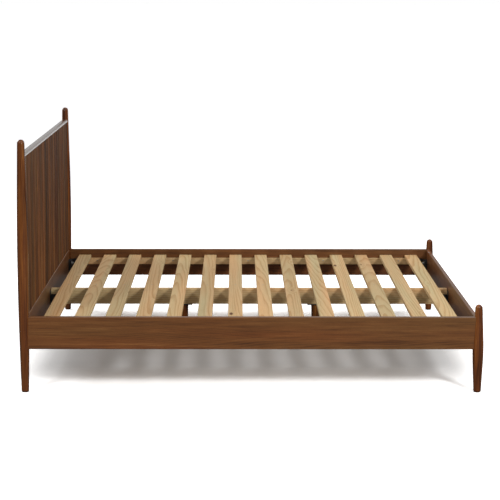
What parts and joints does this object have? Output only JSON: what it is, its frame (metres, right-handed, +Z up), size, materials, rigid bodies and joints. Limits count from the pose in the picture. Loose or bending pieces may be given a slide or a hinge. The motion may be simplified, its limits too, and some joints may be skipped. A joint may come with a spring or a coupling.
{
  "type": "wooden bed frame",
  "caption": "Low-foot wooden bed frame with turned tapered posts, a tongue-and-groove board headboard under a cap rail, and a slatted deck on a centre beam.",
  "frame": {"origin": "on the floor, under the middle of the frame's bounding box", "axes": "+X from the headboard to the foot, along the length; +Y from the left side to the right side, for somebody at the foot who faces the headboard; +Z up"},
  "size_m": [2.1568, 2.0626, 1.177],
  "materials": {
    "walnut_turned": "turned walnut, satin lacquer",
    "walnut_rail": "straight-grained walnut, satin lacquer",
    "walnut_cap": "walnut, satin lacquer, seen from above with a pale sheen",
    "walnut_board": "walnut boards of mixed tone, satin lacquer",
    "pine": "planed pine, unfinished",
    "black_steel": "black powder coat",
    "zinc": "bright zinc plate",
    "nylon": "dark brown nylon"
  },
  "bodies": {
    "frame": {"centre_leg_foot": "walnut_turned", "centre_leg_head": "walnut_turned", "foot_post_left": "walnut_turned", "foot_post_right": "walnut_turned", "head_post_left": "walnut_turned", "head_post_right": "walnut_turned", "foot_rail": "walnut_rail", "head_bottom_rail": "walnut_rail", "side_rail_left": "walnut_rail", "side_rail_right": "walnut_rail", "head_cap_rail": "walnut_cap", "head_board_01": "walnut_board", "head_board_02": "walnut_board", "head_board_03": "walnut_board", "head_board_04": "walnut_board", "head_board_05": "walnut_board", "head_board_06": "walnut_board", "head_board_07": "walnut_board", "head_board_08": "walnut_board", "head_board_09": "walnut_board", "head_board_10": "walnut_board", "head_board_11": "walnut_board", "head_board_12": "walnut_board", "head_board_13": "walnut_board", "head_board_14": "walnut_board", "head_board_15": "walnut_board", "head_board_16": "walnut_board", "head_board_17": "walnut_board", "centre_beam": "pine", "ledger_left": "pine", "ledger_right": "pine", "slat_01": "pine", "slat_02": "pine", "slat_03": "pine", "slat_04": "pine", "slat_05": "pine", "slat_06": "pine", "slat_07": "pine", "slat_08": "pine", "slat_09": "pine", "slat_10": "pine", "slat_11": "pine", "slat_12": "pine", "slat_13": "pine", "slat_14": "pine", "beam_hanger_foot": "black_steel", "beam_hanger_head": "black_steel", "corner_bracket_foot_left": "black_steel", "corner_bracket_foot_right": "black_steel", "corner_bracket_head_left": "black_steel", "corner_bracket_head_right": "black_steel", "leg_plate_foot": "black_steel", "leg_plate_head": "black_steel", "foot_glide_left": "nylon", "foot_glide_right": "nylon", "head_glide_left": "nylon", "head_glide_right": "nylon"},
    "leveller_head": {"leveller_head": "zinc"},
    "leveller_foot": {"leveller_foot": "zinc"}
  },
  "joints": [
    {"name": "leveller_head_screw", "type": "slide", "parent": "frame", "child": "leveller_head", "axis": [0, 0, -1], "range_m": [0, 0.012]},
    {"name": "leveller_foot_screw", "type": "slide", "parent": "frame", "child": "leveller_foot", "axis": [0, 0, -1], "range_m": [0, 0.012]}
  ]
}
